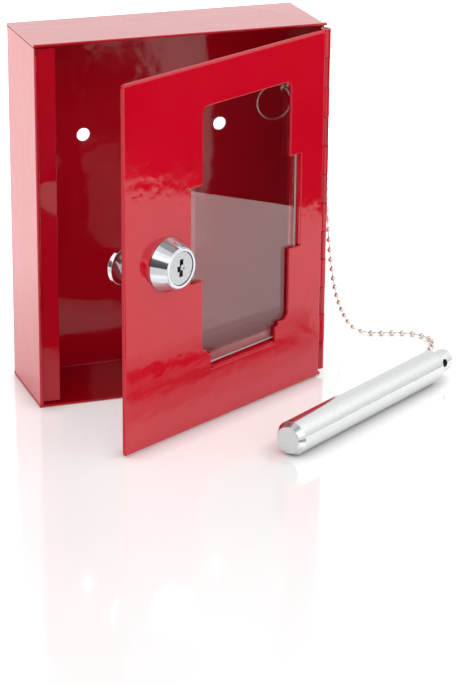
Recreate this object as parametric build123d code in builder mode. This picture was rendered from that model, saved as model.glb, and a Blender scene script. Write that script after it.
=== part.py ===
from build123d import *
import math
import os

os.makedirs("parts", exist_ok=True)

# ---------------------------------------------------------------- driving dimensions (mm, degrees)
# box shell: origin at the centre of its bottom face, +X to the hinge side, +Y to the wall, +Z up
BOX_W = 120.0          # width over the side walls
BOX_H = 150.0          # height
BOX_D = 40.0           # depth, front edges to back face
SHEET = 1.0            # box sheet
BEND_R = 1.4           # outside bend radius of the wrap
LIP_W = 1.6            # folded front lip of the latch-side wall
FLANGE_IN = 8.8        # latch flange, inner edge from the outside of the wall
FLANGE_BACK = 1.5      # flange face behind the lip's front edge
FLANGE_T = 1.0
FLANGE_GAP = 1.0       # flange ends short of the top and bottom plates
TOP_SEAM = 0.5         # seam between the latch-side wall and the top plate
SIDE_INSET = 0.2       # latch-side wall inside the top plate's side edge
SCREW_HOLE_R = 2.75    # two wall-screw holes
SCREW_PITCH = 58.0
SCREW_Z = 101.2

# hinge rolled from the door sheet and the right-hand wall, one pin
PIN_X = 60.9
PIN_Y = -19.3
PIN_R = 0.90
BORE_DOOR_R = 0.95
BORE_WALL_R = 0.92
KNUCKLE_DOOR_R = 2.15
KNUCKLE_WALL_R = 2.05
KNUCKLES = 12
KNUCKLE_TOP = 147.9
KNUCKLE_BOTTOM = 2.7
KNUCKLE_GAP = 0.30
WALL_RELIEF_Y = -16.7  # wall cut back behind the door's knuckles
EAR_X = 61.2           # small ears of the top and bottom plates over the pin's ends
EAR_Y = -17.9

# door, open as stored
DOOR_OPEN = 29.5       # degrees from closed
DOOR_T = 1.2
DOOR_W = 120.55        # pin axis to free edge
DOOR_Z0 = 0.4
DOOR_Z1 = 147.9
DOOR_CUT_X = 2.2       # door sheet stops here, from the pin axis, beside the wall's knuckles
STRIP_BACK = 0.7       # crease between the sheet's rounded edge and the knuckles

# window and the three bent tabs that hold the pane (x from the pin axis, towards the free edge negative)
WIN_X0 = -75.9
WIN_X1 = -23.3
WIN_Z0 = 31.3
WIN_Z1 = 130.8
WIN_R = 3.0
NOTCH_L = (-83.6, 61.0, 99.9)      # outer edge, low z, high z
NOTCH_R = (-16.3, 61.1, 99.9)
NOTCH_B = (22.8, -70.5, -31.4)     # low edge z, left x, right x
TAB_T = 1.0
TAB_BACK = 4.5         # back of the lips behind the door's front face
LIP_L_END = -77.6
LIP_R_END = -20.8
LIP_B_END = 28.4
PANE_T = 2.0
PANE_X0 = -81.9
PANE_X1 = -17.6
PANE_Z0 = 24.75
PANE_Z1 = 135.0
PANE_GAP = 0.10        # behind the door sheet

# cam lock: axis in the door, local z is out of the front
LOCK_X = -96.1
LOCK_Z = 72.9
COLLAR_R0 = 10.95
COLLAR_R1 = 8.79
COLLAR_H = 5.4
HEAD_R = 8.05
HEAD_H = 7.1
BARREL_R = 7.9
BARREL_FLAT = 6.9
BARREL_BACK = 9.5      # end of the barrel behind the door's front face
PLUG_FACE_R = 6.75
PLUG_R = 5.6
PLUG_CLEAR = 0.06
NUT_AF = 19.0
NUT_T = 2.8
CAM_FRONT = 10.3       # front face of the cam behind the door's front face
CAM_T = 2.0
CAM_REACH = 20.6
CAM_END_R = 7.0

# chain, its retaining ring inside the box and the striker that lies on the floor
CHAIN_R = 1.2
CHAIN_HOLE_R = 1.9
CHAIN_Y = 10.0
CHAIN_Z = 118.0
RING_R = 7.3           # middle of the wire
RING_WIRE = 0.42       # wire radius
STRIKER_R = 6.9
STRIKER_BODY = 102.0
STRIKER_TAPER = 2.6       # tapered rim round the flat striking face
STRIKER_FACE_R = 5.3
STRIKER_STUB = 9.8
STRIKER_STUB_R = 4.8
STRIKER_FACE = (17.1, -98.5)       # centre of the flat striking face
STRIKER_DIR = 33.56                # degrees from +X
EYE_AT = 105.6                     # cross hole, from the striking face
EYE_TILT = 14.0
EYE_R = 1.65
FERRULE_OUT = STRIKER_STUB_R + 1.15    # end of the ferrule, from the stub's axis

# ---------------------------------------------------------------- frames
PITCH = (KNUCKLE_TOP - KNUCKLE_BOTTOM) / KNUCKLES
a = math.radians(DOOR_OPEN)
DX = (math.cos(a), math.sin(a), 0)          # along the door, towards the hinge
DN = (math.sin(a), -math.cos(a), 0)         # out of the door's front


def door_point(x, back, z):
    """A point of the door: x from the pin axis, back behind the front face, z up."""
    off = -KNUCKLE_DOOR_R + back
    return (PIN_X + x * DX[0] - off * DN[0], PIN_Y + x * DX[1] - off * DN[1], z)


def door_front(back=0.0, x=0.0, z=0.0):
    """Plane parallel to the door's front: local x along the door, local y up, local z out of the front."""
    return Plane(origin=door_point(x, back, z), x_dir=DX, z_dir=DN)


def door_level(z):
    """Horizontal plane with its origin on the pin axis, local x along the door, local y to the back."""
    return Plane(origin=(PIN_X, PIN_Y, z), x_dir=DX, z_dir=(0, 0, 1))


def lock_plane(out):
    """Plane across the lock's axis, out in front of the door's front face."""
    return door_front(-out, LOCK_X, LOCK_Z)


def knuckle_span(i):
    z1 = KNUCKLE_TOP - i * PITCH - KNUCKLE_GAP / 2
    return z1 - (PITCH - KNUCKLE_GAP), z1


DOOR_ROWS = [knuckle_span(i) for i in range(KNUCKLES) if i % 2 == 0]
WALL_ROWS = [knuckle_span(i) for i in range(KNUCKLES) if i % 2 == 1]

# ---------------------------------------------------------------- box shell
# one sheet wrapped round the top, back and bottom
with BuildPart() as body_wrap:
    with BuildSketch(Plane.YZ.offset(-BOX_W / 2)):
        with BuildLine():
            Polyline(
                (-BOX_D / 2, 0), (BOX_D / 2, 0), (BOX_D / 2, BOX_H), (-BOX_D / 2, BOX_H),
                (-BOX_D / 2, BOX_H - SHEET), (BOX_D / 2 - SHEET, BOX_H - SHEET),
                (BOX_D / 2 - SHEET, SHEET), (-BOX_D / 2, SHEET), close=True,
            )
        make_face()
    extrude(amount=BOX_W)
    back_bends = body_wrap.edges().filter_by(Axis.X).group_by(Axis.Y)[-1]
    fillet(back_bends, BEND_R)
    inner_bends = [
        e for e in body_wrap.edges().filter_by(Axis.X)
        if abs(e.center().Y - (BOX_D / 2 - SHEET)) < 0.01 and SHEET - 0.01 < e.center().Z < BOX_H - SHEET + 0.01
    ]
    fillet(inner_bends, BEND_R - SHEET)
    # ears over the ends of the hinge pin
    for z in (0.0, BOX_H - SHEET):
        with BuildSketch(Plane.XY.offset(z)):
            with Locations(((BOX_W / 2 + EAR_X) / 2 - 0.5, (-BOX_D / 2 + EAR_Y) / 2)):
                Rectangle(EAR_X - BOX_W / 2 + 1.0, EAR_Y + BOX_D / 2)
        extrude(amount=SHEET)
    # wall-screw holes
    with BuildSketch(Plane.XZ.offset(-BOX_D / 2 - 1)):
        with Locations((-SCREW_PITCH / 2, SCREW_Z), (SCREW_PITCH / 2, SCREW_Z)):
            Circle(SCREW_HOLE_R)
    extrude(amount=4, mode=Mode.SUBTRACT)
    # back plate trimmed flush with the latch-side wall
    with BuildSketch(Plane.XY.offset(BEND_R + 0.1)):
        with Locations((-BOX_W / 2, BOX_D / 2)):
            Rectangle(2 * SIDE_INSET, 2 * SHEET + 0.2)
    extrude(amount=BOX_H - 2 * BEND_R - 0.2, mode=Mode.SUBTRACT)
    front = body_wrap.faces().sort_by(Axis.Y)[:2]
    rims = [
        e for f in front for e in f.edges().filter_by(Axis.X)
        if e.length > 50
    ]
    fillet(rims, 0.38)
body_wrap.part.label = "body_wrap"

# latch-side wall: folded lip at the front, latch flange set back behind it
with BuildPart() as left_side_panel:
    x0 = -BOX_W / 2 + SIDE_INSET
    with BuildSketch(Plane.XY.offset(SHEET)):
        with BuildLine():
            Polyline(
                (x0, BOX_D / 2 - SHEET), (x0, -BOX_D / 2), (x0 + LIP_W, -BOX_D / 2),
                (x0 + LIP_W, -BOX_D / 2 + FLANGE_BACK + FLANGE_T), (x0 + SHEET, -BOX_D / 2 + FLANGE_BACK + FLANGE_T),
                (x0 + SHEET, BOX_D / 2 - SHEET), close=True,
            )
        make_face()
    extrude(amount=BOX_H - 2 * SHEET - TOP_SEAM)
    with BuildSketch(Plane.XY.offset(SHEET + FLANGE_GAP)):
        with BuildLine():
            Polyline(
                (x0 + SHEET, -BOX_D / 2 + FLANGE_BACK), (x0 + FLANGE_IN, -BOX_D / 2 + FLANGE_BACK),
                (x0 + FLANGE_IN, -BOX_D / 2 + FLANGE_BACK + FLANGE_T), (x0 + SHEET, -BOX_D / 2 + FLANGE_BACK + FLANGE_T),
                close=True,
            )
        make_face()
    extrude(amount=BOX_H - 2 * SHEET - 2 * FLANGE_GAP)
    lip = left_side_panel.edges().filter_by(Axis.Z).group_by(Axis.Y)[0]
    fillet(lip, 0.6)
    tip = left_side_panel.edges().filter_by(Axis.Z).group_by(Axis.X)[-1]
    fillet(tip, 0.3)
    fillet(left_side_panel.edges().filter_by(Axis.X).group_by(Axis.Y)[-1], BEND_R - SHEET + 0.05)
    # relief at the top of the folded lip
    with BuildSketch(Plane.XY.offset(BOX_H - SHEET - TOP_SEAM)):
        with Locations((x0 + 1.15, -BOX_D / 2 + 0.8)):
            Rectangle(1.4, 2.6)
    extrude(amount=-2.8, mode=Mode.SUBTRACT)
left_side_panel.part.label = "left_side_panel"

# hinge-side wall: its front edge is rolled into every second knuckle
with BuildPart() as right_side_panel:
    x1 = BOX_W / 2
    with BuildSketch(Plane.XY.offset(SHEET)):
        with Locations((x1 - SHEET / 2, (-BOX_D / 2 + BOX_D / 2 - SHEET) / 2)):
            Rectangle(SHEET, BOX_D - SHEET)
    extrude(amount=BOX_H - 2 * SHEET)
    # clear the whole hinge line, then put the wall's own knuckles back
    with BuildSketch(Plane.XY.offset(KNUCKLE_BOTTOM - 0.8)):
        with Locations((x1 - SHEET / 2, (-BOX_D / 2 + WALL_RELIEF_Y) / 2 - 1)):
            Rectangle(SHEET * 3, WALL_RELIEF_Y + BOX_D / 2 + 2)
    extrude(amount=KNUCKLE_TOP - KNUCKLE_BOTTOM + 1.2, mode=Mode.SUBTRACT)
    for z0, z1 in WALL_ROWS:
        with BuildSketch(Plane.XY.offset(z0)):
            with Locations((x1 - SHEET / 2, (PIN_Y + WALL_RELIEF_Y) / 2)):
                Rectangle(SHEET, WALL_RELIEF_Y - PIN_Y)
            with Locations((PIN_X, PIN_Y)):
                Circle(KNUCKLE_WALL_R)
                Circle(BORE_WALL_R, mode=Mode.SUBTRACT)
        extrude(amount=z1 - z0)
    # chain hole
    with BuildSketch(Plane.YZ.offset(x1 - 3)):
        with Locations((CHAIN_Y, CHAIN_Z)):
            Circle(CHAIN_HOLE_R)
    extrude(amount=6, mode=Mode.SUBTRACT)
    fillet(right_side_panel.edges().filter_by(Axis.X).group_by(Axis.Y)[-1], BEND_R - SHEET + 0.05)
right_side_panel.part.label = "right_side_panel"

with BuildPart() as hinge_pin:
    with BuildSketch(Plane.XY.offset(KNUCKLE_BOTTOM + 0.25)):
        with Locations((PIN_X, PIN_Y)):
            Circle(PIN_R)
    extrude(amount=KNUCKLE_TOP - KNUCKLE_BOTTOM - 0.7)
    chamfer(hinge_pin.edges().filter_by(GeomType.CIRCLE), 0.25)
hinge_pin.part.label = "hinge_pin"

# ---------------------------------------------------------------- door
with BuildPart() as door_panel:
    # flat sheet
    with BuildSketch(door_front()):
        with Locations(((-DOOR_W - DOOR_CUT_X) / 2, (DOOR_Z0 + DOOR_Z1) / 2)):
            Rectangle(DOOR_W - DOOR_CUT_X, DOOR_Z1 - DOOR_Z0)
    extrude(amount=-DOOR_T)
    corners = [
        e for e in door_panel.edges().filter_by(Plane(origin=(0, 0, 0), z_dir=DN), reverse=True)
        if e.length < DOOR_T + 0.1
    ]
    fillet(corners, 1.5)
    front_face = door_panel.faces().filter_by(Axis((0, 0, 0), DN)).sort_by(Axis((0, 0, 0), DN))[-1]
    fillet(front_face.edges(), 1.0)
    # sheet runs on to the door's own knuckles
    for z0, z1 in DOOR_ROWS:
        with BuildSketch(door_level(z0)):
            with Locations((-(DOOR_CUT_X + 1.4) / 2, -KNUCKLE_DOOR_R + STRIP_BACK + (DOOR_T - STRIP_BACK) / 2)):
                Rectangle(DOOR_CUT_X + 1.4, DOOR_T - STRIP_BACK)
            Circle(KNUCKLE_DOOR_R)
            Circle(BORE_DOOR_R, mode=Mode.SUBTRACT)
        extrude(amount=z1 - z0)
    # window with three notches where the tabs were bent back
    with BuildSketch(door_front(-2)) as window:
        with Locations(((WIN_X0 + WIN_X1) / 2, (WIN_Z0 + WIN_Z1) / 2)):
            RectangleRounded(WIN_X1 - WIN_X0, WIN_Z1 - WIN_Z0, WIN_R)
        with Locations(((NOTCH_L[0] + WIN_X0 + 2) / 2, (NOTCH_L[1] + NOTCH_L[2]) / 2)):
            Rectangle(WIN_X0 + 2 - NOTCH_L[0], NOTCH_L[2] - NOTCH_L[1])
        with Locations(((NOTCH_R[0] + WIN_X1 - 2) / 2, (NOTCH_R[1] + NOTCH_R[2]) / 2)):
            Rectangle(NOTCH_R[0] - WIN_X1 + 2, NOTCH_R[2] - NOTCH_R[1])
        with Locations(((NOTCH_B[1] + NOTCH_B[2]) / 2, (NOTCH_B[0] + WIN_Z0 + 2) / 2)):
            Rectangle(NOTCH_B[2] - NOTCH_B[1], WIN_Z0 + 2 - NOTCH_B[0])
        # small round reliefs at the ends of each bend
        with Locations(
            (NOTCH_B[1] - 0.9, WIN_Z0 - 0.3), (NOTCH_B[2] + 0.9, WIN_Z0 - 0.3),
        ):
            Circle(1.5)
    extrude(amount=-6, mode=Mode.SUBTRACT)
    window_rim = [
        e for e in door_panel.faces().filter_by(Axis((0, 0, 0), DN)).sort_by(Axis((0, 0, 0), DN))[-1].edges()
        if -88 < (Vector(*e.center()) - Vector(PIN_X, PIN_Y, 0)).dot(Vector(*DX)) < -12 and NOTCH_B[0] - 1 < e.center().Z < WIN_Z1 + 1
    ]
    fillet(window_rim, 0.4)
    # tabs: a web straight back from the notch's outer edge, then a lip behind the pane
    for (xe, z0, z1), end in ((NOTCH_L, LIP_L_END), (NOTCH_R, LIP_R_END)):
        s = 1.0 if end > xe else -1.0
        with BuildSketch(door_level(z0 + 0.6)):
            yf = -KNUCKLE_DOOR_R + 0.25
            yb = -KNUCKLE_DOOR_R + TAB_BACK
            with BuildLine():
                Polyline(
                    (xe - s * 0.5, yf), (xe + s * TAB_T, yf), (xe + s * TAB_T, yb - TAB_T), (end, yb - TAB_T),
                    (end, yb), (xe - s * 0.0, yb), (xe - s * 0.0, -KNUCKLE_DOOR_R + DOOR_T), (xe - s * 0.5, -KNUCKLE_DOOR_R + DOOR_T),
                    close=True,
                )
            make_face()
        extrude(amount=z1 - z0 - 1.2)
    with BuildSketch(Plane(origin=door_point(NOTCH_B[1] + 0.6, 0, 0), x_dir=(0, 0, 1), z_dir=DX)):
        # local x is up, local y is out of the door's front
        zb = NOTCH_B[0]
        with BuildLine():
            Polyline(
                (zb - 0.5, -0.25), (zb + TAB_T, -0.25), (zb + TAB_T, -TAB_BACK + TAB_T), (LIP_B_END, -TAB_BACK + TAB_T),
                (LIP_B_END, -TAB_BACK), (zb, -TAB_BACK), (zb, -DOOR_T), (zb - 0.5, -DOOR_T), close=True,
            )
        make_face()
    extrude(amount=NOTCH_B[2] - NOTCH_B[1] - 1.2)
    # lock hole with two flats
    with BuildSketch(door_front(-2, LOCK_X, LOCK_Z)):
        Circle(BARREL_R + 0.15)
        Rectangle(40, 2 * (BARREL_FLAT + 0.15), mode=Mode.INTERSECT)
    extrude(amount=-6, mode=Mode.SUBTRACT)
door_panel.part.label = "door_panel"

with BuildPart() as glass_pane:
    with BuildSketch(door_front(DOOR_T + PANE_GAP)):
        with Locations(((PANE_X0 + PANE_X1) / 2, (PANE_Z0 + PANE_Z1) / 2)):
            Rectangle(PANE_X1 - PANE_X0, PANE_Z1 - PANE_Z0)
    extrude(amount=-PANE_T)
    chamfer(glass_pane.edges(), 0.4)
glass_pane.part.label = "glass_pane"

# ---------------------------------------------------------------- cam lock
with BuildPart() as lock_collar:
    with BuildSketch(lock_plane(0)):
        Circle(COLLAR_R0)
    with BuildSketch(lock_plane(0.7)):
        Circle(COLLAR_R0 - 0.1)
    loft()
    with BuildSketch(lock_plane(0.7)):
        Circle(COLLAR_R0 - 0.1)
    with BuildSketch(lock_plane(COLLAR_H)):
        Circle(COLLAR_R1)
    loft()
    with BuildSketch(lock_plane(-1)):
        Circle(BARREL_R + 0.08)
    extrude(amount=COLLAR_H + 2, mode=Mode.SUBTRACT)
lock_collar.part.label = "lock_collar"

with BuildPart() as lock_housing:
    # round head with a soft rim, resting on the collar
    with BuildSketch(lock_plane(COLLAR_H)):
        Circle(COLLAR_R1 - 0.02)
    with BuildSketch(lock_plane(HEAD_H)):
        Circle(HEAD_R)
    loft()
    fillet(lock_housing.edges().filter_by(GeomType.CIRCLE).sort_by(Axis((0, 0, 0), DN))[-1], 0.6)
    # barrel with two flats
    with BuildSketch(lock_plane(COLLAR_H)):
        Circle(BARREL_R)
        Rectangle(40, 2 * BARREL_FLAT, mode=Mode.INTERSECT)
    extrude(amount=-(COLLAR_H + BARREL_BACK))
    # bore for the plug, wider behind the face
    with BuildSketch(lock_plane(-BARREL_BACK - 1)):
        Circle(PLUG_R + PLUG_CLEAR)
    extrude(amount=BARREL_BACK + HEAD_H + 2, mode=Mode.SUBTRACT)
    with BuildSketch(lock_plane(HEAD_H - 1.6)):
        Circle(PLUG_FACE_R + 0.15)
    extrude(amount=3, mode=Mode.SUBTRACT)
lock_housing.part.label = "lock_housing"

# wafer slots are cut across the plug; each wafer and its spring sit in one
WAFER_OUT = [3.2, 1.2, -0.8, -2.8]
WAFER_T = 0.8
with BuildPart() as lock_plug:
    with BuildSketch(lock_plane(-BARREL_BACK)):
        Circle(PLUG_R)
    extrude(amount=BARREL_BACK + HEAD_H - 1.55)
    with BuildSketch(lock_plane(HEAD_H - 1.55)):
        Circle(PLUG_FACE_R)
    extrude(amount=1.2)
    fillet(lock_plug.edges().filter_by(GeomType.CIRCLE).sort_by(Axis((0, 0, 0), DN))[-1], 0.3)
    # wavy keyway, open at the face
    with BuildSketch(lock_plane(HEAD_H + 1)) as keyway:
        with BuildLine():
            Polyline(
                (-0.65, 3.5), (1.35, 3.5), (1.35, 1.1), (0.0, 1.1), (0.0, -1.0), (1.1, -1.0), (1.1, -3.5),
                (-0.9, -3.5), (-0.9, -1.3), (-2.0, -1.3), (-2.0, 0.9), (-0.65, 0.9), close=True,
            )
        make_face()
    extrude(amount=-13.0, mode=Mode.SUBTRACT)
    # round ward standing in the keyway, its end domed
    with BuildSketch(lock_plane(HEAD_H - 2.2)):
        with Locations((1.0, 0.05)):
            Circle(1.3)
    extrude(amount=1.85)
    with BuildSketch(lock_plane(HEAD_H - 0.35)):
        with Locations((1.0, 0.05)):
            Circle(1.3)
    with BuildSketch(lock_plane(HEAD_H - 0.05)):
        with Locations((1.0, 0.05)):
            Circle(1.12)
    with BuildSketch(lock_plane(HEAD_H + 0.1)):
        with Locations((1.0, 0.05)):
            Circle(0.75)
    loft()
    # dimple in its end
    with BuildSketch(lock_plane(HEAD_H + 0.2)):
        with Locations((1.15, -0.15)):
            Circle(0.42)
    extrude(amount=-1.0, mode=Mode.SUBTRACT)
    # slots for the wafers
    for out in WAFER_OUT:
        with BuildSketch(lock_plane(out)):
            Rectangle(5.2, 10.2)
        extrude(amount=-WAFER_T - 0.1, mode=Mode.SUBTRACT)
    # squared drive for the stop washer and cam, tapped end
    with BuildSketch(lock_plane(-BARREL_BACK)):
        Circle(3.9)
        Rectangle(6.4, 6.4, mode=Mode.INTERSECT)
    extrude(amount=-(CAM_FRONT + CAM_T - BARREL_BACK) + 0.2)
    with BuildSketch(lock_plane(-CAM_FRONT - CAM_T - 0.5)):
        Circle(1.55)
    extrude(amount=6.0, mode=Mode.SUBTRACT)
lock_plug.part.label = "lock_plug"

# flat wafers with a keyhole window and a foot for the spring
with BuildPart() as wafer_tumblers:
    for i, out in enumerate(WAFER_OUT):
        with BuildSketch(lock_plane(out - 0.05)):
            with Locations((0, -0.1)):
                Rectangle(4.6, 9.6)
            with Locations((-0.1, 0.2 + 0.25 * (i % 3))):
                Rectangle(2.6, 6.4, mode=Mode.SUBTRACT)
            with Locations((1.95, 3.6)):
                Rectangle(0.9, 2.5, mode=Mode.SUBTRACT)
        extrude(amount=-WAFER_T)
wafer_tumblers.part.label = "wafer_tumblers"

# one small coil spring beside each wafer
with BuildPart() as wafer_springs:
    for out in WAFER_OUT:
        base = door_point(LOCK_X + 1.98, -out + 0.05 + WAFER_T / 2, LOCK_Z + 2.6)
        with BuildLine(Plane(origin=base, x_dir=DX, z_dir=(0, 0, 1))):
            coil = Helix(pitch=0.55, height=1.9, radius=0.24)
        with BuildSketch(Plane(origin=coil @ 0, z_dir=coil % 0)):
            Circle(0.07)
        sweep(path=coil, is_frenet=True)
wafer_springs.part.label = "wafer_springs"

with BuildPart() as lock_nut:
    with BuildSketch(lock_plane(-DOOR_T)):
        RegularPolygon(NUT_AF / 2, 6, major_radius=False)
    extrude(amount=-NUT_T)
    chamfer(lock_nut.faces().filter_by(Axis((0, 0, 0), DN)).sort_by(Axis((0, 0, 0), DN))[0].edges(), 0.4)
    with BuildSketch(lock_plane(0)):
        Circle(BARREL_R + 0.02)
    extrude(amount=-8, mode=Mode.SUBTRACT)
lock_nut.part.label = "lock_nut"

# quarter-turn stop washer: a quadrant tab stands against the barrel's end
with BuildPart() as stop_washer:
    with BuildSketch(lock_plane(-BARREL_BACK - 0.05)):
        Circle(7.2)
        Rectangle(6.6, 6.6, mode=Mode.SUBTRACT)
    extrude(amount=-(CAM_FRONT - BARREL_BACK - 0.05))
stop_washer.part.label = "stop_washer"

with BuildPart() as cam:
    with BuildSketch(lock_plane(-CAM_FRONT)):
        Circle(CAM_END_R)
        with Locations((-(CAM_REACH - CAM_END_R) / 2, 0)):
            Rectangle(CAM_REACH - CAM_END_R, 2 * CAM_END_R)
        with Locations((-(CAM_REACH - CAM_END_R), 0)):
            Circle(CAM_END_R)
        Rectangle(6.6, 6.6, mode=Mode.SUBTRACT)
    extrude(amount=-CAM_T)
    outer = [e for e in cam.edges() if e.geom_type == GeomType.CIRCLE]
    fillet(outer, 0.35)
cam.part.label = "cam"

with BuildPart() as cam_lock_washer:
    with BuildSketch(lock_plane(-CAM_FRONT - CAM_T)):
        Circle(4.7)
        Circle(2.2, mode=Mode.SUBTRACT)
    extrude(amount=-0.9)
    with BuildSketch(lock_plane(-CAM_FRONT - CAM_T)):
        with Locations((3.4, 0.6)):
            Rectangle(3.4, 0.35, rotation=12)
    extrude(amount=-0.9, mode=Mode.SUBTRACT)
cam_lock_washer.part.label = "cam_lock_washer"

with BuildPart() as cam_screw:
    back = CAM_FRONT + CAM_T + 0.9
    with BuildSketch(lock_plane(-back)):
        Circle(4.0)
    extrude(amount=-2.4)
    fillet(cam_screw.edges().filter_by(GeomType.CIRCLE).sort_by(Axis((0, 0, 0), DN))[0], 1.2)
    with BuildSketch(lock_plane(-back)):
        Circle(1.5)
    extrude(amount=5.6)
    with BuildSketch(lock_plane(-back - 2.4 - 1)):
        Rectangle(4.4, 0.9)
        Rectangle(0.9, 4.4)
    extrude(amount=2.4, mode=Mode.SUBTRACT)
cam_screw.part.label = "cam_screw"

# ---------------------------------------------------------------- chain end inside the box
# a ring too big for the wall's hole keeps the chain in; it hangs from an eye on the chain's last ball
EYE = (53.6, CHAIN_Y, CHAIN_Z - 0.9)
RING_DROP = math.radians(56.3)     # the ring hangs down and to the left of the eye, from straight left
RING_C = (EYE[0] - RING_R * math.cos(RING_DROP), CHAIN_Y, EYE[2] - RING_R * math.sin(RING_DROP))
RING_TANGENT = (math.sin(RING_DROP), 0, -math.cos(RING_DROP))
EYE_TURN = math.radians(50)
EYE_N = (
    RING_TANGENT[0] * math.sin(EYE_TURN), -math.cos(EYE_TURN), RING_TANGENT[2] * math.sin(EYE_TURN)
)
BALL_C = (EYE[0] + 2.2, CHAIN_Y, CHAIN_Z)
with BuildPart() as chain_end_link:
    # ball cup
    with BuildSketch(Plane.YZ.offset(BALL_C[0] - 1.15)):
        with Locations((BALL_C[1], BALL_C[2])):
            Circle(1.2)
    extrude(amount=2.3)
    fillet(chain_end_link.edges().filter_by(GeomType.CIRCLE), 0.8)
    # short pin to the first ball of the chain
    with BuildSketch(Plane.YZ.offset(BALL_C[0])):
        with Locations((BALL_C[1], BALL_C[2])):
            Circle(0.8)
    extrude(amount=1.7)
    # eye, turned so that the ring runs through it, and its neck
    with BuildSketch(Plane(origin=EYE, z_dir=EYE_N)):
        Circle(1.85)
        Circle(1.12, mode=Mode.SUBTRACT)
    extrude(amount=0.32, both=True)
    toward = Vector(*BALL_C) - Vector(*EYE)
    inplane = (toward - Vector(*EYE_N) * toward.dot(Vector(*EYE_N))).normalized()
    neck_start = Vector(*EYE) + inplane * 1.5
    with BuildSketch(Plane(origin=neck_start, z_dir=Vector(*BALL_C) - neck_start)):
        Circle(0.42)
    extrude(amount=(Vector(*BALL_C) - neck_start).length - 0.3)
chain_end_link.part.label = "chain_end_link"

# round wire ring, its ends meeting with a hair's gap
with BuildPart() as retaining_ring:
    with BuildSketch(Plane(origin=RING_C, x_dir=(-1, 0, 0), z_dir=(0, 0, 1))):
        with Locations((RING_R, 0)):
            Circle(RING_WIRE)
    revolve(axis=Axis(RING_C, (0, 1, 0)), revolution_arc=358)
retaining_ring.part.label = "retaining_ring"

# ---------------------------------------------------------------- striker on the floor
b = math.radians(STRIKER_DIR)
SD = (math.cos(b), math.sin(b), 0)
SP = (math.sin(b), -math.cos(b), 0)         # level, towards the front


def striker_plane(at):
    return Plane(
        origin=(STRIKER_FACE[0] + at * SD[0], STRIKER_FACE[1] + at * SD[1], STRIKER_R), x_dir=SP, z_dir=SD
    )


t = math.radians(EYE_TILT)
EYE_DIR = (SP[0] * math.cos(t), SP[1] * math.cos(t), math.sin(t))
EYE_C = (STRIKER_FACE[0] + EYE_AT * SD[0], STRIKER_FACE[1] + EYE_AT * SD[1], STRIKER_R)


def eye_point(out):
    return (EYE_C[0] + out * EYE_DIR[0], EYE_C[1] + out * EYE_DIR[1], EYE_C[2] + out * EYE_DIR[2])


with BuildPart() as striker:
    with BuildSketch(striker_plane(0)):
        Circle(STRIKER_FACE_R)
    with BuildSketch(striker_plane(STRIKER_TAPER)):
        Circle(STRIKER_R)
    loft()
    with BuildSketch(striker_plane(STRIKER_TAPER)):
        Circle(STRIKER_R)
    extrude(amount=STRIKER_BODY - STRIKER_TAPER)
    fillet(striker.edges().filter_by(GeomType.CIRCLE).sort_by(Axis((0, 0, 0), SD))[0], 0.35)
    fillet(striker.edges().filter_by(GeomType.CIRCLE).sort_by(Axis((0, 0, 0), SD))[-1], 1.3)
    with BuildSketch(striker_plane(STRIKER_BODY)):
        Circle(STRIKER_STUB_R)
    extrude(amount=STRIKER_STUB)
    fillet(striker.edges().filter_by(GeomType.CIRCLE).sort_by(Axis((0, 0, 0), SD))[-1], 0.8)
    with BuildSketch(Plane(origin=eye_point(-8), z_dir=EYE_DIR)):
        Circle(EYE_R)
    extrude(amount=16, mode=Mode.SUBTRACT)
striker.part.label = "striker"

# ferrule pressed into the back of the cross hole, holding the chain's last ball
with BuildPart() as striker_ferrule:
    with BuildSketch(Plane(origin=eye_point(-FERRULE_OUT), z_dir=EYE_DIR)):
        Circle(EYE_R - 0.02)
    extrude(amount=4.2)
    with BuildSketch(Plane(origin=eye_point(-FERRULE_OUT), z_dir=EYE_DIR)):
        Circle(EYE_R + 0.25)
    extrude(amount=1.1)
striker_ferrule.part.label = "striker_ferrule"

# ---------------------------------------------------------------- ball chain, as the tube it fills
CHAIN_START = (BALL_C[0] + 1.7, CHAIN_Y, CHAIN_Z)
CHAIN_END = eye_point(-FERRULE_OUT)
CHAIN_ROUTE = [
    CHAIN_START,
    (64.0, 10.0, 118.0),
    (68.6, 10.0, 114.6),
    (71.0, 9.9, 108.0),
    (72.4, 9.7, 96.0),
    (73.4, 9.4, 80.0),
    (74.9, 9.0, 58.4),
    (76.1, 8.3, 41.7),
    (78.7, 9.5, 28.0),
    (82.3, 12.3, 18.2),
    (86.6, 15.9, 10.4),
    (91.0, 18.4, 4.2),
    (96.4, 18.2, 1.2),
    (101.6, 15.6, 1.2),
    (109.0, 13.6, 1.2),
    (116.6, 10.6, 1.2),
    (120.9, 4.0, 1.2),
    (120.6, -3.0, 1.2),
    (116.9, -9.0, 1.2),
    (110.9, -15.6, 1.2),
    (105.9, -20.0, 1.2),
    (100.3, -25.4, 1.22),
    eye_point(-11.5),
    CHAIN_END,
]


def route_radii(points, share=0.45):
    """The largest arc each corner's two runs leave room for."""
    out = []
    for p, q, r in zip(points, points[1:], points[2:]):
        u, v = Vector(*q) - Vector(*p), Vector(*r) - Vector(*q)
        turn = math.radians(u.get_angle(v))
        out.append(share * min(u.length, v.length) / math.tan(turn / 2))
    return out


CHAIN_RADII = route_radii(CHAIN_ROUTE)
with BuildPart() as chain:
    with BuildLine():
        chain_path = FilletPolyline(*CHAIN_ROUTE, radius=CHAIN_RADII)
    with BuildSketch(Plane(origin=CHAIN_START, z_dir=chain_path % 0)):
        Circle(CHAIN_R)
    sweep(path=chain_path)
chain.part.label = "chain"

print("chain length", round(chain_path.length, 1), "tube check",
      round(chain.part.volume / (math.pi * CHAIN_R ** 2 * chain_path.length), 4))
print("chain radii", [round(r, 1) for r in CHAIN_RADII])
print("chain end", [tuple(round(v, 3) for v in q) for q in CHAIN_ROUTE[-2:]])

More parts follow.
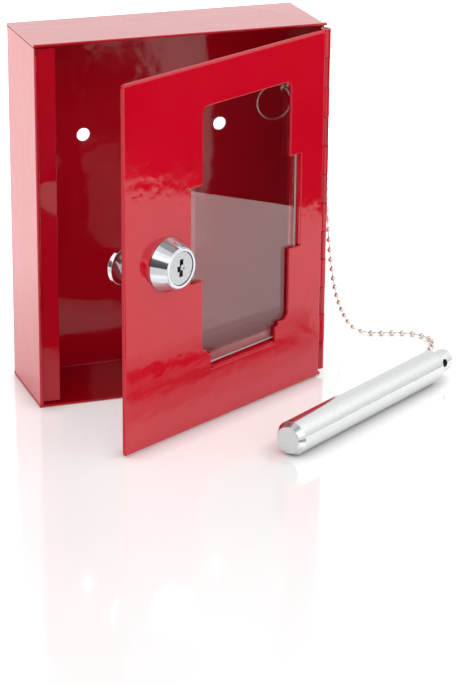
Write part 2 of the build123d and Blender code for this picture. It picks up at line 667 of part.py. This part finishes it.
# ---------------------------------------------------------------- files
export_step(body_wrap.part, "parts/body_wrap.step")
export_step(left_side_panel.part, "parts/left_side_panel.step")
export_step(right_side_panel.part, "parts/right_side_panel.step")
export_step(hinge_pin.part, "parts/hinge_pin.step")
export_step(door_panel.part, "parts/door_panel.step")
export_step(glass_pane.part, "parts/glass_pane.step")
export_step(lock_collar.part, "parts/lock_collar.step")
export_step(lock_housing.part, "parts/lock_housing.step")
export_step(lock_plug.part, "parts/lock_plug.step")
export_step(wafer_tumblers.part, "parts/wafer_tumblers.step")
export_step(wafer_springs.part, "parts/wafer_springs.step")
export_step(lock_nut.part, "parts/lock_nut.step")
export_step(stop_washer.part, "parts/stop_washer.step")
export_step(cam.part, "parts/cam.step")
export_step(cam_lock_washer.part, "parts/cam_lock_washer.step")
export_step(cam_screw.part, "parts/cam_screw.step")
export_step(chain_end_link.part, "parts/chain_end_link.step")
export_step(retaining_ring.part, "parts/retaining_ring.step")
export_step(striker.part, "parts/striker.step")
export_step(striker_ferrule.part, "parts/striker_ferrule.step")
export_step(chain.part, "parts/chain.step")
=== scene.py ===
import math

import bmesh
import bpy
import numpy as np
from mathutils import Matrix, Vector


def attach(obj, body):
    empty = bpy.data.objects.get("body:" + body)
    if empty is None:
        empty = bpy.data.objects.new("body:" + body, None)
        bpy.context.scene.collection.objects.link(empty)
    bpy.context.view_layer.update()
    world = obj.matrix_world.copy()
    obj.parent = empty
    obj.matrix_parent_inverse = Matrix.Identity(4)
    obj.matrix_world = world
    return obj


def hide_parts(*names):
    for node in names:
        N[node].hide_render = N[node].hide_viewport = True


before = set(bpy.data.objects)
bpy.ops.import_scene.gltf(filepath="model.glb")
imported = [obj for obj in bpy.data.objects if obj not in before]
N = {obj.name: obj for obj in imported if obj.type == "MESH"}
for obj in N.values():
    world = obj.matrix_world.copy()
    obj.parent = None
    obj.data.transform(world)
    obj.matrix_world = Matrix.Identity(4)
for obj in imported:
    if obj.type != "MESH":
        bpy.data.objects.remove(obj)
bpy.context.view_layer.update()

scene = bpy.context.scene
MM = 0.001


# ---------------------------------------------------------------- camera
yaw, pitch, roll = math.radians(19.738), math.radians(20.507), math.radians(0.524)
forward = Vector((math.sin(yaw) * math.cos(pitch), math.cos(yaw) * math.cos(pitch), -math.sin(pitch)))
level = Vector((math.cos(yaw), -math.sin(yaw), 0))
up0 = level.cross(forward)
right = math.cos(roll) * level + math.sin(roll) * up0
up = -math.sin(roll) * level + math.cos(roll) * up0
cam_data = bpy.data.cameras.new("camera")
cam_data.sensor_fit = "VERTICAL"
cam_data.sensor_height = 36.0
cam_data.lens = 2568.8 * 36.0 / 685.0
cam_data.clip_start, cam_data.clip_end = 0.05, 20.0
camera = bpy.data.objects.new("camera", cam_data)
scene.collection.objects.link(camera)
camera.matrix_world = Matrix((
    (right.x, up.x, -forward.x, -0.31304),
    (right.y, up.y, -forward.y, -0.95170),
    (right.z, up.z, -forward.z, 0.38900),
    (0, 0, 0, 1),
))
scene.camera = camera


# ---------------------------------------------------------------- helpers
def link(obj):
    scene.collection.objects.link(obj)
    return obj


def mesh_object(name, verts, faces, smooth=True):
    me = bpy.data.meshes.new(name)
    me.from_pydata([tuple(v) for v in verts], [], [tuple(f) for f in faces])
    me.validate()
    me.update()
    if smooth:
        me.polygons.foreach_set("use_smooth", [True] * len(me.polygons))
    return link(bpy.data.objects.new(name, me))


def unit(v):
    return v / max(np.linalg.norm(v), 1e-12)


def side_of(t):
    a = np.array((0, 0, 1.0)) if abs(t[2]) < 0.9 else np.array((1.0, 0, 0))
    s = unit(np.cross(a, t))
    return s, np.cross(t, s)


def revolve(profile, centre, axis, seg, verts, faces, close=True):
    """Adds a turned piece: profile is (along the axis, radius) pairs."""
    t = unit(np.array(axis, float))
    s, u = side_of(t)
    c = np.array(centre, float)
    base = len(verts)
    rings = []
    for along, r in profile:
        if r < 1e-9:
            verts.append(c + t * along)
            rings.append([len(verts) - 1])
        else:
            ring = []
            for k in range(seg):
                w = 2 * math.pi * k / seg
                verts.append(c + t * along + (s * math.cos(w) + u * math.sin(w)) * r)
                ring.append(len(verts) - 1)
            rings.append(ring)
    for a, b in zip(rings, rings[1:]):
        for k in range(seg):
            i, j = k, (k + 1) % seg
            if len(a) == 1:
                faces.append((a[0], b[j], b[i]))
            elif len(b) == 1:
                faces.append((a[i], a[j], b[0]))
            else:
                faces.append((a[i], a[j], b[j], b[i]))
    return base


# ---------------------------------------------------------------- ball chain
# the route's points, through the wall's hole, down beside the box, over the floor and into the striker's cross hole
ROUTE = [
    (57.5, 10.0, 118.0), (64.0, 10.0, 118.0), (68.6, 10.0, 114.6), (71.0, 9.9, 108.0), (72.4, 9.7, 96.0),
    (73.4, 9.4, 80.0), (74.9, 9.0, 58.4), (76.1, 8.3, 41.7), (78.7, 9.5, 28.0), (82.3, 12.3, 18.2),
    (86.6, 15.9, 10.4), (91.0, 18.4, 4.2), (96.4, 18.2, 1.2), (101.6, 15.6, 1.2), (109.0, 13.6, 1.2),
    (116.6, 10.6, 1.2), (120.9, 4.0, 1.2), (120.6, -3.0, 1.2), (116.9, -9.0, 1.2), (110.9, -15.6, 1.2),
    (105.9, -20.0, 1.2), (100.3, -25.4, 1.22), (98.929, -30.825, 4.118), (101.906, -35.312, 5.461),
]
curve = bpy.data.curves.new("chain_route", "CURVE")
curve.dimensions = "3D"
spline = curve.splines.new("NURBS")
spline.points.add(len(ROUTE) - 1)
for p, q in zip(spline.points, ROUTE):
    p.co = (q[0] * MM, q[1] * MM, q[2] * MM, 1.0)
spline.order_u = 3
spline.use_endpoint_u = True
spline.resolution_u = 24
route_obj = bpy.data.objects.new("chain_route", curve)
route_mesh = bpy.data.meshes.new_from_object(route_obj)
line = np.array([v.co for v in route_mesh.vertices], float).reshape(-1, 3)
bpy.data.meshes.remove(route_mesh)
bpy.data.objects.remove(route_obj)
bpy.data.curves.remove(curve)
along = np.concatenate(([0.0], np.cumsum(np.linalg.norm(np.diff(line, axis=0), axis=1))))
CHAIN_LENGTH = float(along[-1])


def on_line(s):
    return np.array([np.interp(s, along, line[:, k]) for k in range(3)])


BALL_R, LINK_R = 1.20 * MM, 0.30 * MM
balls = int(round((CHAIN_LENGTH - 2 * BALL_R) / (4.55 * MM))) + 1
pitch_len = (CHAIN_LENGTH - 2.4 * BALL_R) / (balls - 1)
verts, faces = [], []
hole = 0.46 * MM
for i in range(balls):
    s = 1.2 * BALL_R + i * pitch_len
    c = on_line(s)
    t = unit(on_line(min(s + 0.6 * MM, CHAIN_LENGTH)) - on_line(max(s - 0.6 * MM, 0)))
    # hollow ball: round shell whose two small openings are rolled inwards round the link wire
    a0 = math.asin(hole / BALL_R)
    prof = [(-BALL_R * math.cos(a0) + 0.16 * MM, hole - 0.10 * MM), (-BALL_R * math.cos(a0) + 0.03 * MM, hole - 0.05 * MM)]
    for k in range(11):
        w = a0 + (math.pi - 2 * a0) * k / 10
        prof.append((-BALL_R * math.cos(w), BALL_R * math.sin(w)))
    prof += [(BALL_R * math.cos(a0) - 0.03 * MM, hole - 0.05 * MM), (BALL_R * math.cos(a0) - 0.16 * MM, hole - 0.10 * MM)]
    revolve(prof, c, t, 20, verts, faces)
    if i < balls - 1:
        # dumb-bell link between this ball and the next
        c2 = on_line(s + pitch_len)
        a, b = c + unit(c2 - c) * (BALL_R - 0.25 * MM), c2 - unit(c2 - c) * (BALL_R - 0.25 * MM)
        span = np.linalg.norm(b - a)
        revolve([(0, 0), (0, LINK_R), (span * 0.5, LINK_R * 0.92), (span, LINK_R), (span, 0)], a, b - a, 10, verts, faces)
ball_chain = mesh_object("ball_chain", verts, faces)
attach(ball_chain, "box")
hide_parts("chain")


# ---------------------------------------------------------------- materials
def material(name):
    m = bpy.data.materials.new(name)
    m.use_nodes = True
    nt = m.node_tree
    b = nt.nodes["Principled BSDF"]
    return m, nt, b


def add(nt, kind, **inputs):
    n = nt.nodes.new(kind)
    for k, v in inputs.items():
        n.inputs[k.replace("_", " ")].default_value = v
    return n


def coords(nt, scale=(1, 1, 1), rotation=(0, 0, 0)):
    tc = nt.nodes.new("ShaderNodeTexCoord")
    mp = nt.nodes.new("ShaderNodeMapping")
    mp.inputs["Scale"].default_value = scale
    mp.inputs["Rotation"].default_value = rotation
    nt.links.new(tc.outputs["Object"], mp.inputs["Vector"])
    return mp.outputs["Vector"]


def noise(nt, vec, scale, detail=2.0, rough=0.5, distortion=0.0):
    n = nt.nodes.new("ShaderNodeTexNoise")
    n.inputs["Scale"].default_value = scale
    n.inputs["Detail"].default_value = detail
    n.inputs["Roughness"].default_value = rough
    n.inputs["Distortion"].default_value = distortion
    nt.links.new(vec, n.inputs["Vector"])
    return n.outputs["Fac"]


def ramp(nt, fac, stops):
    r = nt.nodes.new("ShaderNodeValToRGB")
    el = r.color_ramp.elements
    while len(el) < len(stops):
        el.new(0.5)
    for e, (p, c) in zip(el, stops):
        e.position = p
        e.color = c if len(c) == 4 else (*c, 1)
    nt.links.new(fac, r.inputs["Fac"])
    return r.outputs["Color"]


def rng(nt, fac, a, b, lo, hi):
    r = nt.nodes.new("ShaderNodeMapRange")
    r.inputs["From Min"].default_value = a
    r.inputs["From Max"].default_value = b
    r.inputs["To Min"].default_value = lo
    r.inputs["To Max"].default_value = hi
    nt.links.new(fac, r.inputs["Value"])
    return r.outputs["Result"]


def bump(nt, height, distance, strength=1.0, normal=None):
    b = nt.nodes.new("ShaderNodeBump")
    b.inputs["Strength"].default_value = strength
    b.inputs["Distance"].default_value = distance
    nt.links.new(height, b.inputs["Height"])
    if normal is not None:
        nt.links.new(normal, b.inputs["Normal"])
    return b.outputs["Normal"]


def math_node(nt, op, a, b):
    m = nt.nodes.new("ShaderNodeMath")
    m.operation = op
    for i, v in enumerate((a, b)):
        if isinstance(v, (int, float)):
            m.inputs[i].default_value = v
        else:
            nt.links.new(v, m.inputs[i])
    return m.outputs["Value"]


def paint(name, lo, hi, peel):
    """Gloss red powder coat with orange peel."""
    m, nt, b = material(name)
    vec = coords(nt)
    tone = noise(nt, vec, 34.0, 3.0)
    col = ramp(nt, tone, [(0.30, lo), (0.70, hi)])
    nt.links.new(col, b.inputs["Base Color"])
    patch = noise(nt, vec, 60.0, 3.0)
    nt.links.new(rng(nt, patch, 0.3, 0.7, 0.060, 0.110), b.inputs["Roughness"])
    b.inputs["Specular IOR Level"].default_value = 0.5
    # short waves of the orange peel, and longer slow ones of the sheet
    fine = bump(nt, noise(nt, vec, 520.0, 2.0, 0.45), peel[0])
    mid = bump(nt, noise(nt, vec, 190.0, 1.5, 0.4), peel[1], normal=fine)
    long = bump(nt, noise(nt, vec, 26.0, 1.0, 0.4), peel[2], normal=mid)
    nt.links.new(long, b.inputs["Normal"])
    return m


def metal(name, color, rough=(0.08, 0.16), scale=400.0, vary=0.06, bump_d=0.0, stretch=(1, 1, 1), rot=(0, 0, 0), detail=3.0):
    m, nt, b = material(name)
    vec = coords(nt, stretch, rot)
    f = noise(nt, vec, scale, detail)
    lo = tuple(max(0, c * (1 - vary)) for c in color)
    hi = tuple(min(1, c * (1 + vary)) for c in color)
    nt.links.new(ramp(nt, f, [(0.3, lo), (0.7, hi)]), b.inputs["Base Color"])
    b.inputs["Metallic"].default_value = 1.0
    nt.links.new(rng(nt, f, 0.3, 0.7, rough[0], rough[1]), b.inputs["Roughness"])
    if bump_d:
        nt.links.new(bump(nt, f, bump_d), b.inputs["Normal"])
    return m


def use(mat, *names):
    for n in names:
        o = N[n] if isinstance(n, str) else n
        o.data.materials.clear()
        o.data.materials.append(mat)


BOX_PAINT = paint("box_paint", (0.415, 0.0006, 0.0095), (0.447, 0.0010, 0.0120), (0.000004, 0.00008, 0.00020))
DOOR_PAINT = paint("door_paint", (0.490, 0.0006, 0.0115), (0.530, 0.0010, 0.0145), (0.000028, 0.00012, 0.00016))
use(BOX_PAINT, "body_wrap", "left_side_panel", "right_side_panel", "hinge_pin")
use(DOOR_PAINT, "door_panel")

CHROME = metal("lock_chrome", (0.645, 0.66, 0.69), (0.03, 0.07), 250, 0.03)
SATIN = metal("lock_satin", (0.535, 0.545, 0.56), (0.22, 0.36), 1500, 0.10, 0.00001)
CAM = metal("cam_steel", (0.70, 0.71, 0.72), (0.06, 0.13), 700, 0.06, 0.000006)
BRASS = metal("wafer_brass", (0.80, 0.58, 0.26), (0.16, 0.28), 900, 0.08)
SPRING = metal("spring_steel", (0.55, 0.55, 0.56), (0.15, 0.25), 900, 0.05)
NICKEL = metal("chain_nickel", (0.80, 0.73, 0.68), (0.34, 0.48), 800, 0.08)
ZINC = metal("striker_zinc", (0.705, 0.716, 0.719), (0.14, 0.21), 900, 0.035, 0.0, detail=5.0)
use(CHROME, "lock_collar", "lock_housing")
use(SATIN, "lock_plug")
use(CAM, "cam", "lock_nut", "stop_washer", "cam_lock_washer", "cam_screw")
use(BRASS, "wafer_tumblers")
use(SPRING, "wafer_springs")
use(NICKEL, "chain_end_link", "retaining_ring", ball_chain)
use(ZINC, "striker", "striker_ferrule")

# glass, faintly green in its depth, its edges ground to a pale frost
GLASS, nt, b = material("glass")
vec = coords(nt)
smear = noise(nt, vec, 45.0, 4.0, 0.6, 0.4)
turn_a = math.radians(29.5)
dx = Vector((math.cos(turn_a), math.sin(turn_a), 0.0))
dn = Vector((math.sin(turn_a), -math.cos(turn_a), 0.0))
pin = Vector((60.9, -19.3, 0.0)) * MM
sep = nt.nodes.new("ShaderNodeSeparateXYZ")
nt.links.new(vec, sep.inputs["Vector"])
across = math_node(nt, "ADD", math_node(nt, "MULTIPLY", sep.outputs["X"], dx.x), math_node(nt, "MULTIPLY", sep.outputs["Y"], dx.y))
mid_x, half_x = pin.dot(dx) + (-81.9 - 17.6) / 2 * MM, (81.9 - 17.6) / 2 * MM
mid_z, half_z = (24.75 + 135.0) / 2 * MM, (135.0 - 24.75) / 2 * MM
from_side = math_node(nt, "SUBTRACT", half_x, math_node(nt, "ABSOLUTE", math_node(nt, "SUBTRACT", across, mid_x), 0))
from_end = math_node(nt, "SUBTRACT", half_z, math_node(nt, "ABSOLUTE", math_node(nt, "SUBTRACT", sep.outputs["Z"], mid_z), 0))
inset = math_node(nt, "MINIMUM", from_side, from_end)
frost = rng(nt, inset, 0.00042, 0.00036, 0.0, 1.0)
clear = rng(nt, smear, 0.45, 0.75, 0.0, 0.006)
nt.links.new(math_node(nt, "ADD", clear, math_node(nt, "MULTIPLY", frost, 0.5)), b.inputs["Roughness"])
nt.links.new(ramp(nt, smear, [(0.3, (0.955, 0.985, 0.970)), (0.7, (0.975, 0.992, 0.985))]), b.inputs["Base Color"])
nt.links.new(math_node(nt, "SUBTRACT", 1.0, math_node(nt, "MULTIPLY", frost, 0.75)), b.inputs["Transmission Weight"])
b.inputs["IOR"].default_value = 1.52
use(GLASS, "glass_pane")


# ---------------------------------------------------------------- stage and light
floor = mesh_object("floor", [(-3, -3, 0), (3, -3, 0), (3, 4, 0), (-3, 4, 0)], [(0, 1, 2, 3)], False)
FLOOR, nt, b = material("floor")
vec = coords(nt)
nt.links.new(ramp(nt, noise(nt, vec, 3.0, 2.0), [(0.3, (0.54, 0.54, 0.54)), (0.7, (0.56, 0.56, 0.56))]), b.inputs["Base Color"])
b.inputs["Roughness"].default_value = 0.09
b.inputs["IOR"].default_value = 3.0
b.inputs["Emission Color"].default_value = (1, 1, 1, 1)
sep = nt.nodes.new("ShaderNodeSeparateXYZ")
nt.links.new(vec, sep.inputs["Vector"])
# painted light and shade in the floor's glow: brighter behind the object and to its right, and darkened by ambient
# occlusion into a painted contact shadow round the pieces
painted_floor_light = math_node(nt, "ADD", rng(nt, sep.outputs["Y"], 0.0, 0.16, 0.49, 1.10), rng(nt, sep.outputs["Y"], -0.14, -0.36, 0.0, 0.14))
painted_floor_light = math_node(nt, "ADD", painted_floor_light, rng(nt, sep.outputs["X"], 0.06, 0.20, 0.0, 0.15))
contact_shadow_ao = nt.nodes.new("ShaderNodeAmbientOcclusion")
contact_shadow_ao.samples = 12
contact_shadow_ao.inputs["Distance"].default_value = 0.010
painted_contact_shadow = math_node(nt, "POWER", contact_shadow_ao.outputs["AO"], 1.1)
nt.links.new(math_node(nt, "MULTIPLY", painted_floor_light, painted_contact_shadow), b.inputs["Emission Strength"])
use(FLOOR, floor)

# dark card lying beside the set, seen only in gloss: a painted dark reflection in the pieces
flag = mesh_object("flag", [(0.370, -0.42, 0.0004), (0.95, -0.60, 0.0004), (0.95, 0.12, 0.0004), (0.252, 0.08, 0.0004)], [(0, 1, 2, 3)], False)


def card(name, lo, hi):
    """Matt card lying face up, clear from below so that the floor under it doesn't mirror it."""
    m, nt, b = material(name)
    nt.links.new(ramp(nt, noise(nt, coords(nt), 9.0, 2.0), [(0.3, lo), (0.7, hi)]), b.inputs["Base Color"])
    b.inputs["Roughness"].default_value = 0.9
    b.inputs["Specular IOR Level"].default_value = 0.0
    side_seen = nt.nodes.new("ShaderNodeNewGeometry")
    clear = nt.nodes.new("ShaderNodeBsdfTransparent")
    mix = nt.nodes.new("ShaderNodeMixShader")
    nt.links.new(side_seen.outputs["Backfacing"], mix.inputs["Fac"])
    nt.links.new(b.outputs["BSDF"], mix.inputs[1])
    nt.links.new(clear.outputs["BSDF"], mix.inputs[2])
    nt.links.new(mix.outputs["Shader"], nt.nodes["Material Output"].inputs["Surface"])
    return m


FLAG = card("flag", (0.010, 0.010, 0.010), (0.016, 0.015, 0.015))
use(FLAG, flag)
# second dark card in front of the set, seen only in gloss: another painted dark reflection
front_flag = mesh_object("front_flag", [(0.045, -0.295, 0.0004), (0.040, -0.540, 0.0004), (0.178, -0.540, 0.0004), (0.106, -0.295, 0.0004)], [(0, 1, 2, 3)], False)
use(FLAG, front_flag)
# grey card, also seen only in gloss: a painted grey reflection in the pieces
grey_flag = mesh_object("grey_flag", [(0.000, -0.130, 0.0004), (0.020, -0.295, 0.0004), (0.110, -0.295, 0.0004), (0.085, -0.130, 0.0004)], [(0, 1, 2, 3)], False)
GREY_FLAG = card("grey_flag", (0.34, 0.34, 0.34), (0.38, 0.37, 0.37))
use(GREY_FLAG, grey_flag)
for o in (flag, front_flag, grey_flag):
    o.visible_camera = o.visible_diffuse = o.visible_shadow = False

# world: pale all round, brightest low behind the object, dimmer overhead
world = bpy.data.worlds.new("studio")
scene.world = world
world.use_nodes = True
nt = world.node_tree
bg = nt.nodes["Background"]
tc = nt.nodes.new("ShaderNodeTexCoord")
sep = nt.nodes.new("ShaderNodeSeparateXYZ")
nt.links.new(tc.outputs["Generated"], sep.inputs["Vector"])
behind = math_node(nt, "ADD", math_node(nt, "MULTIPLY", sep.outputs["X"], 0.336), math_node(nt, "MULTIPLY", sep.outputs["Y"], 0.942))
front = ramp(nt, sep.outputs["Z"], [(0.0, (0.48,) * 3), (0.17, (0.48,) * 3), (0.32, (0.65,) * 3), (0.46, (0.81,) * 3), (0.58, (0.97,) * 3), (0.66, (0.97,) * 3), (0.80, (0.50,) * 3), (0.92, (0.21,) * 3)])
# a dark stretch low at the front left, under the bright band
low = math_node(nt, "MULTIPLY", rng(nt, sep.outputs["X"], -0.15, -0.50, 0.0, 1.0), rng(nt, sep.outputs["Z"], 0.56, 0.44, 0.0, 1.0))
front = math_node(nt, "MULTIPLY", front, math_node(nt, "SUBTRACT", 1.0, math_node(nt, "MULTIPLY", low, 0.88)))
rear = ramp(nt, sep.outputs["Z"], [(0.0, (0.50,) * 3), (0.61, (0.50,) * 3), (0.68, (0.62,) * 3), (0.76, (0.60,) * 3), (0.88, (0.21,) * 3)])
turn = rng(nt, behind, 0.0, 0.65, 0.0, 1.0)
sky = math_node(nt, "ADD", math_node(nt, "MULTIPLY", front, math_node(nt, "SUBTRACT", 1.0, turn)), math_node(nt, "MULTIPLY", rear, turn))
nt.links.new(math_node(nt, "MULTIPLY", sky, 2.0), bg.inputs["Strength"])
bg.inputs["Color"].default_value = (1, 1, 1, 1)


def area(name, at, to, size, power, colour=(1, 1, 1)):
    d = bpy.data.lights.new(name, "AREA")
    d.shape = "RECTANGLE"
    d.size, d.size_y = size
    d.energy = power
    d.color = colour
    o = link(bpy.data.objects.new(name, d))
    o.location = at
    o.rotation_mode = "QUATERNION"
    o.rotation_quaternion = (Vector(to) - Vector(at)).to_track_quat("-Z", "Y")
    return o


area("softbox_top", (-0.5, -0.2, 1.3), (0.0, 0.0, 0.0), (0.9, 0.7), 1.0)
# low panel far behind, only for the wrap's top plate
panel = area("rear_panel", (0.40, 1.06, 0.58), (0.02, 0.0, 0.15), (1.1, 0.7), 1.6)
lit = bpy.data.collections.new("lit_by_rear_panel")
lit.objects.link(N["body_wrap"])
panel.light_linking.receiver_collection = lit
# side panel, only for the latch-side wall
side = area("side_panel", (-1.1, 0.12, 0.30), (-0.06, 0.0, 0.05), (0.8, 0.8), 5.6)
lit = bpy.data.collections.new("lit_by_side_panel")
lit.objects.link(N["left_side_panel"])
side.light_linking.receiver_collection = lit
# front panel, only for the wrap's inside, and not stopped by the door or its glass
inner = area("inner_panel", (0.06, -0.70, 0.10), (0.0, 0.02, 0.08), (0.4, 0.4), 0.52)
lit = bpy.data.collections.new("lit_by_inner_panel")
lit.objects.link(N["body_wrap"])
inner.light_linking.receiver_collection = lit
inner.light_linking.blocker_collection = lit

scene.view_settings.view_transform = "Standard"
scene.view_settings.look = "None"
scene.view_settings.exposure = 0.0
scene.view_settings.gamma = 1.0

bpy.context.view_layer.update()
